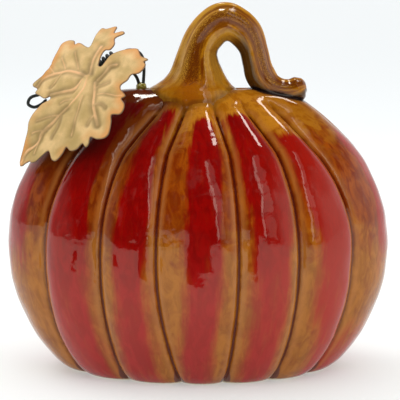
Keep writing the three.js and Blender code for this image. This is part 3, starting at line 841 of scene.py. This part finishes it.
def leaf_blank(outline, edge_line):
    """The flat leaf as points, the rim's first, and triangles of a nearly even size."""
    low, high = outline.min(0), outline.max(0)
    row_step = LEAF_SPACING * 0.866
    across, up = np.meshgrid(np.arange(low[0], high[0], LEAF_SPACING), np.arange(low[1], high[1], row_step))
    across[1::2] += LEAF_SPACING / 2
    grid = np.stack([across.ravel(), up.ravel()], axis=1)
    clear = inside_outline(grid, outline) & (distance_to_lines(grid, edge_line) > 0.4 * LEAF_SPACING)
    seeds = np.vstack([outline, grid[clear]])
    loop = list(range(len(outline)))
    edges = [(i, (i + 1) % len(loop)) for i in loop]
    points, _, faces, _, _, _ = delaunay_2d_cdt([Vector(p) for p in seeds], edges, [loop], 1, 1e-6)
    return np.array(points), faces


def leaf_relief(flat, to_edge):
    """Height of each point off the flat plane, and how much of a vein and of a gully it is."""
    from_main = distance_to_lines(flat, [spline(v, 6) for v in MAIN_VEINS])
    from_side = distance_to_lines(flat, [spline(v, 6) for v in SIDE_VEINS])
    vein = np.maximum(np.exp(-((from_main / 0.95) ** 2)), 0.7 * np.exp(-((from_side / 0.75) ** 2)))
    gully = np.maximum(np.exp(-((from_main / 2.8) ** 2)), 0.75 * np.exp(-((from_side / 2.0) ** 2)))
    wire_clearance = smoothstep(distance_to_lines(flat, [np.array(LEAF_WIRE_BEHIND, float)]), 1.5, 5)
    gully = gully * (0.2 + 0.8 * wire_clearance)
    wave = lumps(with_third(flat, 0), 7, 4) * wire_clearance * smoothstep(to_edge, 0, 5)
    stamped = VEIN_HEIGHT * vein - GULLY_DEPTH * gully + WAVE_HEIGHT * wave
    return leaf_sheet_height(flat[:, 0], flat[:, 1]) + stamped, vein, gully


def with_third(flat, value):
    return np.column_stack([flat, np.full(len(flat), float(value))])


def outward_along(outline):
    """The level way out at each point of the rim."""
    after, before = np.roll(outline, -1, axis=0), np.roll(outline, 1, axis=0)
    tangent = after - before
    area = np.sum(outline[:, 0] * after[:, 1] - outline[:, 1] * after[:, 0])
    return unit(np.stack([tangent[:, 1], -tangent[:, 0]], axis=1)) * np.sign(area)


def make_leaf():
    outline = leaf_outline()
    edge_line = [np.vstack([outline, outline[:1]])]
    flat, faces = leaf_blank(outline, edge_line)
    to_edge = distance_to_lines(flat, edge_line)
    height, vein, gully = leaf_relief(flat, to_edge)
    rim, count = len(outline), len(flat)

    front = leaf_to_space(flat[:, 0], flat[:, 1], height + LEAF_THICKNESS / 2)
    back = leaf_to_space(flat[:, 0], flat[:, 1], height - LEAF_THICKNESS / 2)
    lip = outline + LEAF_LIP * outward_along(outline)
    lip_space = leaf_to_space(lip[:, 0], lip[:, 1], height[:rim])
    sheet = [tuple(f) for f in faces]
    sheet += [tuple(i + count for i in reversed(f)) for f in faces]
    for i in range(rim):
        j = (i + 1) % rim
        sheet.append((i, j, 2 * count + j, 2 * count + i))
        sheet.append((2 * count + i, 2 * count + j, count + j, count + i))

    def all_points(front_values, back_values, lip_value=0.0):
        return np.concatenate([front_values, back_values, np.full(rim, lip_value)])

    facts = {
        "vein": all_points(vein, vein),
        "gully": all_points(gully, gully),
        "edge_mm": all_points(to_edge, to_edge),
        "leaf_xy": np.vstack([with_third(flat, 0), with_third(flat, 9), with_third(outline, 4)]),
        "face_up": all_points(np.ones(count), np.zeros(count)),
    }
    leaf = link_mesh("leaf_sheet", np.vstack([front, back, lip_space]), sheet, facts, leaf_material())
    hand_in(leaf, "leaf")


LEAF_TAN = (0.56, 0.375, 0.135), (0.78, 0.52, 0.225)
LEAF_BACK = (0.05, 0.04, 0.03), (0.14, 0.1, 0.06)
LEAF_OLIVE = (0.38, 0.255, 0.07)
GULLY_SHADE = (0.2, 0.13, 0.04)
RIM_ORANGE = (0.72, 0.3, 0.07)
VEIN_PINK = (0.95, 0.53, 0.25)
LEAF_GRAIN = (0.3, 0.19, 0.07)
EDGE_BROWN = (0.3, 0.14, 0.05)


def leaf_material():
    """Sprayed tan with olive clouds, orange towards the rim and pinkish veins. The back is dark."""
    paint = Paint("leaf_paint")
    vein, gully, edge, face_up = paint.facts("vein", "gully", "edge_mm", "face_up")
    place = paint.fact("leaf_xy", "Vector")
    _, up_leaf, _ = paint.separate(place)
    cloud = paint.noise(place, 0.1)
    patch = paint.noise(place, 0.06, 3, 0.5, 0.4)
    fringe = paint.noise(place, 0.045, 2)
    grain = paint.noise(place, 2.2, 4, 0.7)
    layers = [
        (paint.times(paint.ramp(up_leaf, 5, -35), paint.ramp(patch, 0.35, 0.6, 0.1, 0.7)), LEAF_OLIVE),
        (paint.times(paint.ramp(gully, 0.15, 0.85, 0.0, 0.7), paint.ramp(patch, 0.35, 0.6, 1.0, 0.5)),
         GULLY_SHADE),
        (paint.times(paint.ramp(edge, 5.5, 0.0, 0.0, 0.85), paint.ramp(fringe, 0.42, 0.58)), RIM_ORANGE),
        (paint.times(paint.ramp(vein, 0.35, 0.9), paint.ramp(patch, 0.4, 0.58, 0.2, 0.75)), VEIN_PINK),
        (paint.ramp(grain, 0.52, 0.72, 0.0, 0.4), LEAF_GRAIN),
        (paint.ramp(edge, 0.5, 0.1, 0.0, 0.7), EDGE_BROWN),
    ]
    face = paint.layered(paint.tones(cloud, LEAF_TAN), layers)
    tone = paint.mix(face_up, paint.mix(cloud, *LEAF_BACK), face)
    return paint.surface(base_color=tone, roughness=0.5, ior=1.45, normal=paint.bump(grain, 0.1))


# ---- wires

WIRE_RADIUS = 0.8
WIRE_SIDES = 14
WIRE_SPACING = 0.55
WIRE_TO_LEAF_GAP = 0.5
END_SHARE, NEXT_TO_END_SHARE = 0.45, 0.86  # of the radius, which rounds the wire's ends
LEAF_WIRE_START = [
    (-29.2, 3.3, 131), (-29.2, 3.3, 141), (-31.2, 0.5, 146.5), (-37, -5.5, 150), (-45.5, -11.5, 149.5),
]
TENDRIL_START = [
    (-27.2, 3.3, 131), (-27.2, 3.3, 141), (-26.8, 3.5, 149), (-27.3, 3.6, 154.5), (-29.6, 3.8, 157.6),
    (-33, 4.2, 158.6), (-36.3, 5, 157.8),
]
COIL_FROM = np.array([-40.5, 3, 155.2])
COIL_TO = np.array([-57.5, 2, 143.6])
COIL_RADIUS = 3.2
COIL_TURNS = 9
COIL_STEPS = 12  # in each turn
TENDRIL_END = [
    (-63, 2, 139.8), (-71, 2.5, 138.2), (-78.5, 2.5, 136.6), (-83.4, 2.5, 134.8), (-84.4, 2.5, 131.8),
    (-81.5, 2.5, 130.3), (-77.5, 2.3, 132), (-75.2, 2, 134.2),
]


def tendril_path():
    axis = COIL_TO - COIL_FROM
    along = unit(axis)
    side = unit(np.cross([0, 1, 0], along))
    over = np.cross(along, side)
    step = np.arange(COIL_TURNS * COIL_STEPS + 1)[:, None]
    turn = 2 * np.pi * step / COIL_STEPS
    coil = (COIL_FROM + axis * step / (COIL_TURNS * COIL_STEPS)
            - side * COIL_RADIUS * np.cos(turn) + over * COIL_RADIUS * np.sin(turn))
    return TENDRIL_START + [tuple(p) for p in coil] + TENDRIL_END


def leaf_wire_path():
    behind = LEAF_THICKNESS / 2 + WIRE_RADIUS + WIRE_TO_LEAF_GAP
    held = [tuple(leaf_to_space(x, y, leaf_sheet_height(x, y) - behind)) for x, y in LEAF_WIRE_BEHIND]
    return LEAF_WIRE_START + held


def make_wire(name, node, path):
    curve = spline(path, 12)
    curve = evenly(curve, int(distance_run(curve)[-1] / WIRE_SPACING))
    ahead = unit(np.gradient(curve, axis=0))
    across = np.cross(ahead[0], [0.3, 1, 0.2])
    angle = 2 * np.pi * np.arange(WIRE_SIDES) / WIRE_SIDES
    rings = []
    last = len(curve) - 1
    ends = {0: END_SHARE, 1: NEXT_TO_END_SHARE, last - 1: NEXT_TO_END_SHARE, last: END_SHARE}
    for i, (centre, way) in enumerate(zip(curve, ahead)):
        across = unit(across - way * (across @ way))
        other = np.cross(way, across)
        radius = WIRE_RADIUS * ends.get(i, 1.0)
        rings.append(centre + radius * (np.cos(angle)[:, None] * across + np.sin(angle)[:, None] * other))
    wire = ring_surface(name, np.array(rings), {}, wire_material())
    hand_in(wire, node)


SPRAY_FROM = (0.35, -0.45, 0.82)


def wire_material():
    """Black enamel with overspray of the leaf's paint on the sides that look towards SPRAY_FROM."""
    known = bpy.data.materials.get("wire_enamel")
    if known:
        return known
    paint = Paint("wire_enamel")
    place = paint.place()
    normal = paint.node("NewGeometry").outputs["Normal"]
    toward = Vector(SPRAY_FROM).normalized()
    facing = paint.node("VectorMath", {0: normal, 1: toward}, operation="DOT_PRODUCT")
    patch = paint.noise(place, 0.22, 3, 0.6)
    grain = paint.noise(place, 1.8, 4, 0.6)
    reach = paint.plus(facing.outputs["Value"], paint.swing(patch, 2.6))
    spray = paint.times(paint.ramp(reach, 0.35, 0.95), paint.ramp(grain, 0.3, 0.6, 0.55, 1.0))
    enamel = paint.mix(grain, (0.008, 0.014, 0.012), (0.022, 0.032, 0.026))
    tone = paint.mix(spray, enamel, (0.42, 0.24, 0.09))
    roughness = paint.ramp(spray, 0, 1, 0.28, 0.5)
    return paint.surface(base_color=tone, roughness=roughness, ior=1.5, normal=paint.bump(grain, 0.04))


# ---- glue and solder

LUMP_ROWS = 26
LUMP_SIDES = 36
GLUE_RADII = (2.7, 2.6, 2.5)
GLUE_DROP = 0.6
SOLDER_RADII = (2.2, 2.2, 2.4)


def make_lump(name, node, centre, radii, material, seed):
    """A rounded, uneven lump."""
    polar = np.linspace(0.02, np.pi - 0.02, LUMP_ROWS)[:, None]
    around = (2 * np.pi * np.arange(LUMP_SIDES) / LUMP_SIDES)[None]
    ball = grid_of(np.sin(polar) * np.cos(around), np.sin(polar) * np.sin(around), np.cos(polar))
    bulge = 1 + 0.2 * lumps(ball * 3, 2.0, seed) + 0.12 * lumps(ball * 3, 0.9, seed + 1)
    rings = np.array(centre) + ball * np.array(radii) * bulge[..., None]
    piece = ring_surface(name, rings, {}, material)
    hand_in(piece, node)


def glue_material():
    paint = Paint("glue")
    place = paint.place()
    swirl = paint.noise(place, 0.5, 4, 0.6, 1)
    tone = paint.tones(swirl, ((0.3, 0.22, 0.02), (0.5, 0.42, 0.08)), 0.35, 0.65)
    relief = paint.bump(paint.noise(place, 0.7, 2), 0.15)
    return paint.surface(base_color=tone, roughness=0.08, ior=1.49, transmission_weight=0.35, normal=relief)


def solder_material():
    paint = Paint("solder")
    dull = paint.noise(paint.place(), 0.9, 4, 0.6)
    tone = paint.mix(dull, (0.25, 0.24, 0.22), (0.5, 0.49, 0.46))
    roughness = paint.ramp(dull, 0.3, 0.7, 0.3, 0.55)
    return paint.surface(base_color=tone, metallic=1.0, roughness=roughness, normal=paint.bump(dull, 0.1))


def box_middle(node):
    low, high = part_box(node)
    return (low + high) / 2 / MM


def make_lumps():
    bead = box_middle("glue_bead") - Vector((0, 0, GLUE_DROP))
    make_lump("glue_blob", "glue_bead", bead, GLUE_RADII, glue_material(), 5)
    spot = box_middle("solder_joint")
    make_lump("solder_blob", "solder_joint", spot, SOLDER_RADII, solder_material(), 7)


# ---- studio

FLOOR_REACH = 40000


def make_floor():
    paint = Paint("pale_floor")
    place = paint.place()
    _, depth, _ = paint.separate(place)
    cloud = paint.noise(place, 0.004)
    near = paint.mix(cloud, (0.635, 0.66, 0.65), (0.66, 0.68, 0.665))
    tone = paint.mix(paint.ramp(depth, 250, 1500), near, (0.56, 0.59, 0.6))
    grain = paint.noise(place, 0.9)
    material = paint.surface(
        base_color=tone,
        roughness=0.8,
        ior=1.3,
        emission_color=(1, 1, 1),
        emission_strength=0.29,
        normal=paint.bump(grain, 0.02),
    )
    corners = [(x * FLOOR_REACH, y * FLOOR_REACH, 0) for x, y in ((-1, -1), (1, -1), (1, 1), (-1, 1))]
    floor = link_mesh("floor", corners, [(0, 1, 2, 3)], {}, material)


# Dark things that stand in front of the pumpkin and show only in its gloss: place in X and Y, width, height
DARK_THINGS = {"dark_stand": (4, -240, 96, 96), "dark_block": (-222, -196, 60, 34)}
DARK_TOP_SHARE = 0.7  # of the width, at the top
DARK_FOOT_Z = 0.5


def make_dark_things():
    paint = Paint("dark_things")
    grain = paint.noise(paint.place(), 0.05)
    tone = paint.mix(grain, (0.01, 0.009, 0.008), (0.03, 0.027, 0.024))
    material = paint.surface(base_color=tone, roughness=0.9)
    for name, (x, y, width, height) in DARK_THINGS.items():
        aside = np.array([-y, x, 0]) / math.hypot(x, y) * width / 2
        foot, top = np.array([x, y, DARK_FOOT_Z]), np.array([x, y, height])
        corners = [foot - aside, foot + aside, top + DARK_TOP_SHARE * aside, top - DARK_TOP_SHARE * aside]
        thing = link_mesh(name, corners, [(0, 1, 2, 3)], {}, material)
        for ray in ("camera", "diffuse", "shadow"):
            setattr(thing, f"visible_{ray}", False)


def make_world():
    """Even soft light, with a dim room mirrored in front and pale walls mirrored at the sides and behind."""
    paint = Paint("studio", "worlds")
    way = paint.node("TexCoord").outputs["Generated"]
    x, y, z = paint.separate(way)
    overhead = paint.ramp(z, 0.45, 0.9, 0.0, 0.75)
    sideways = paint.ramp(paint.math("ABSOLUTE", x), 0.4, 0.85, 0.0, 0.7)
    beyond = paint.math("MAXIMUM", paint.ramp(y, -0.5, 0.4, 0.0, 0.75), sideways)
    lit = paint.plus(paint.math("MAXIMUM", beyond, overhead), 0.5)

    behind = paint.ramp(y, 0.0, 0.5, 0.0, 0.85)
    right = paint.ramp(paint.plus(x, paint.times(z, 0.3)), 0.6, 0.95, 0.0, 0.9)
    left = paint.ramp(x, -0.75, -0.98, 0.0, 0.3)
    low_sky = paint.ramp(z, 0.35, 0.75, 1.0, 0.12)
    walls = paint.times(paint.math("MAXIMUM", behind, paint.math("MAXIMUM", right, left)), low_sky)
    things = paint.ramp(paint.noise(way, 5.0, 4.0), 0.56, 0.72, 0.003, 0.3)

    def background(tone, strength):
        return paint.node("Background", {"Color": tone, "Strength": strength}).outputs[0]

    light = background((1, 1, 1), lit)
    mirrored = background((1, 0.99, 0.98), paint.plus(walls, things))
    seen = background((0.9, 0.915, 0.92), 1.0)
    light_path = paint.node("LightPath").outputs
    unseen = paint.node("MixShader", {0: light_path["Is Glossy Ray"], 1: light, 2: mirrored})
    sky = paint.node("MixShader", {0: light_path["Is Camera Ray"], 1: unseen.outputs[0], 2: seen})
    paint.node("OutputWorld", {0: sky.outputs[0]})
    bpy.context.scene.world = paint.owner


LAMP_TARGET = Vector((0, 0, 80)) * MM
# Elevation and brightness of each row of the window's panes
WINDOW_ROWS = [(10, 1.6), (27, 2.2), (44, 2.0), (61, 1.3)]


def add_lamp(name, azimuth, elevation, size, radiance, distance=1.5, mirrored=True, shines=True):
    """A rectangular lamp that looks at the pumpkin, in degrees and metres. Azimuth 90 is the right side."""
    turn, lift = math.radians(azimuth), math.radians(elevation)
    way = Vector((math.sin(turn) * math.cos(lift), -math.cos(turn) * math.cos(lift), math.sin(lift)))
    data = bpy.data.lights.new(name, "AREA")
    data.shape = "RECTANGLE"
    data.size, data.size_y = size
    data.energy = radiance * math.pi * math.prod(size)
    lamp = add_object(name, data)
    lamp.location = LAMP_TARGET + way * distance
    lamp.rotation_euler = way.to_track_quat("Z", "Y").to_euler()
    lamp.visible_camera = False
    lamp.visible_glossy = mirrored
    lamp.visible_diffuse = shines


def make_lamps():
    for row, (elevation, brightness) in enumerate(WINDOW_ROWS):
        add_lamp(f"window_near_{row}", 23, elevation, size=(0.11, 0.42), radiance=1.5 * brightness)
        add_lamp(f"window_far_{row}", 33, elevation, size=(0.3, 0.42), radiance=0.45 * brightness)
    add_lamp("lamp_right", 127, 66, size=(0.36, 0.2), radiance=10, shines=False)
    add_lamp("lamp_left", -163, 70, size=(0.3, 0.14), radiance=22, shines=False)
    add_lamp("soft_key", -125, 50, size=(0.9, 0.9), radiance=3.0, distance=2.0, mirrored=False)


make_camera()
make_body(make_stem())
make_leaf()
make_wire("leaf_stalk", "leaf_wire", leaf_wire_path())
make_wire("tendril_curl", "tendril_wire", tendril_path())
make_lumps()
make_floor()
make_dark_things()
make_world()
make_lamps()
bpy.context.scene.view_settings.view_transform = "Standard"
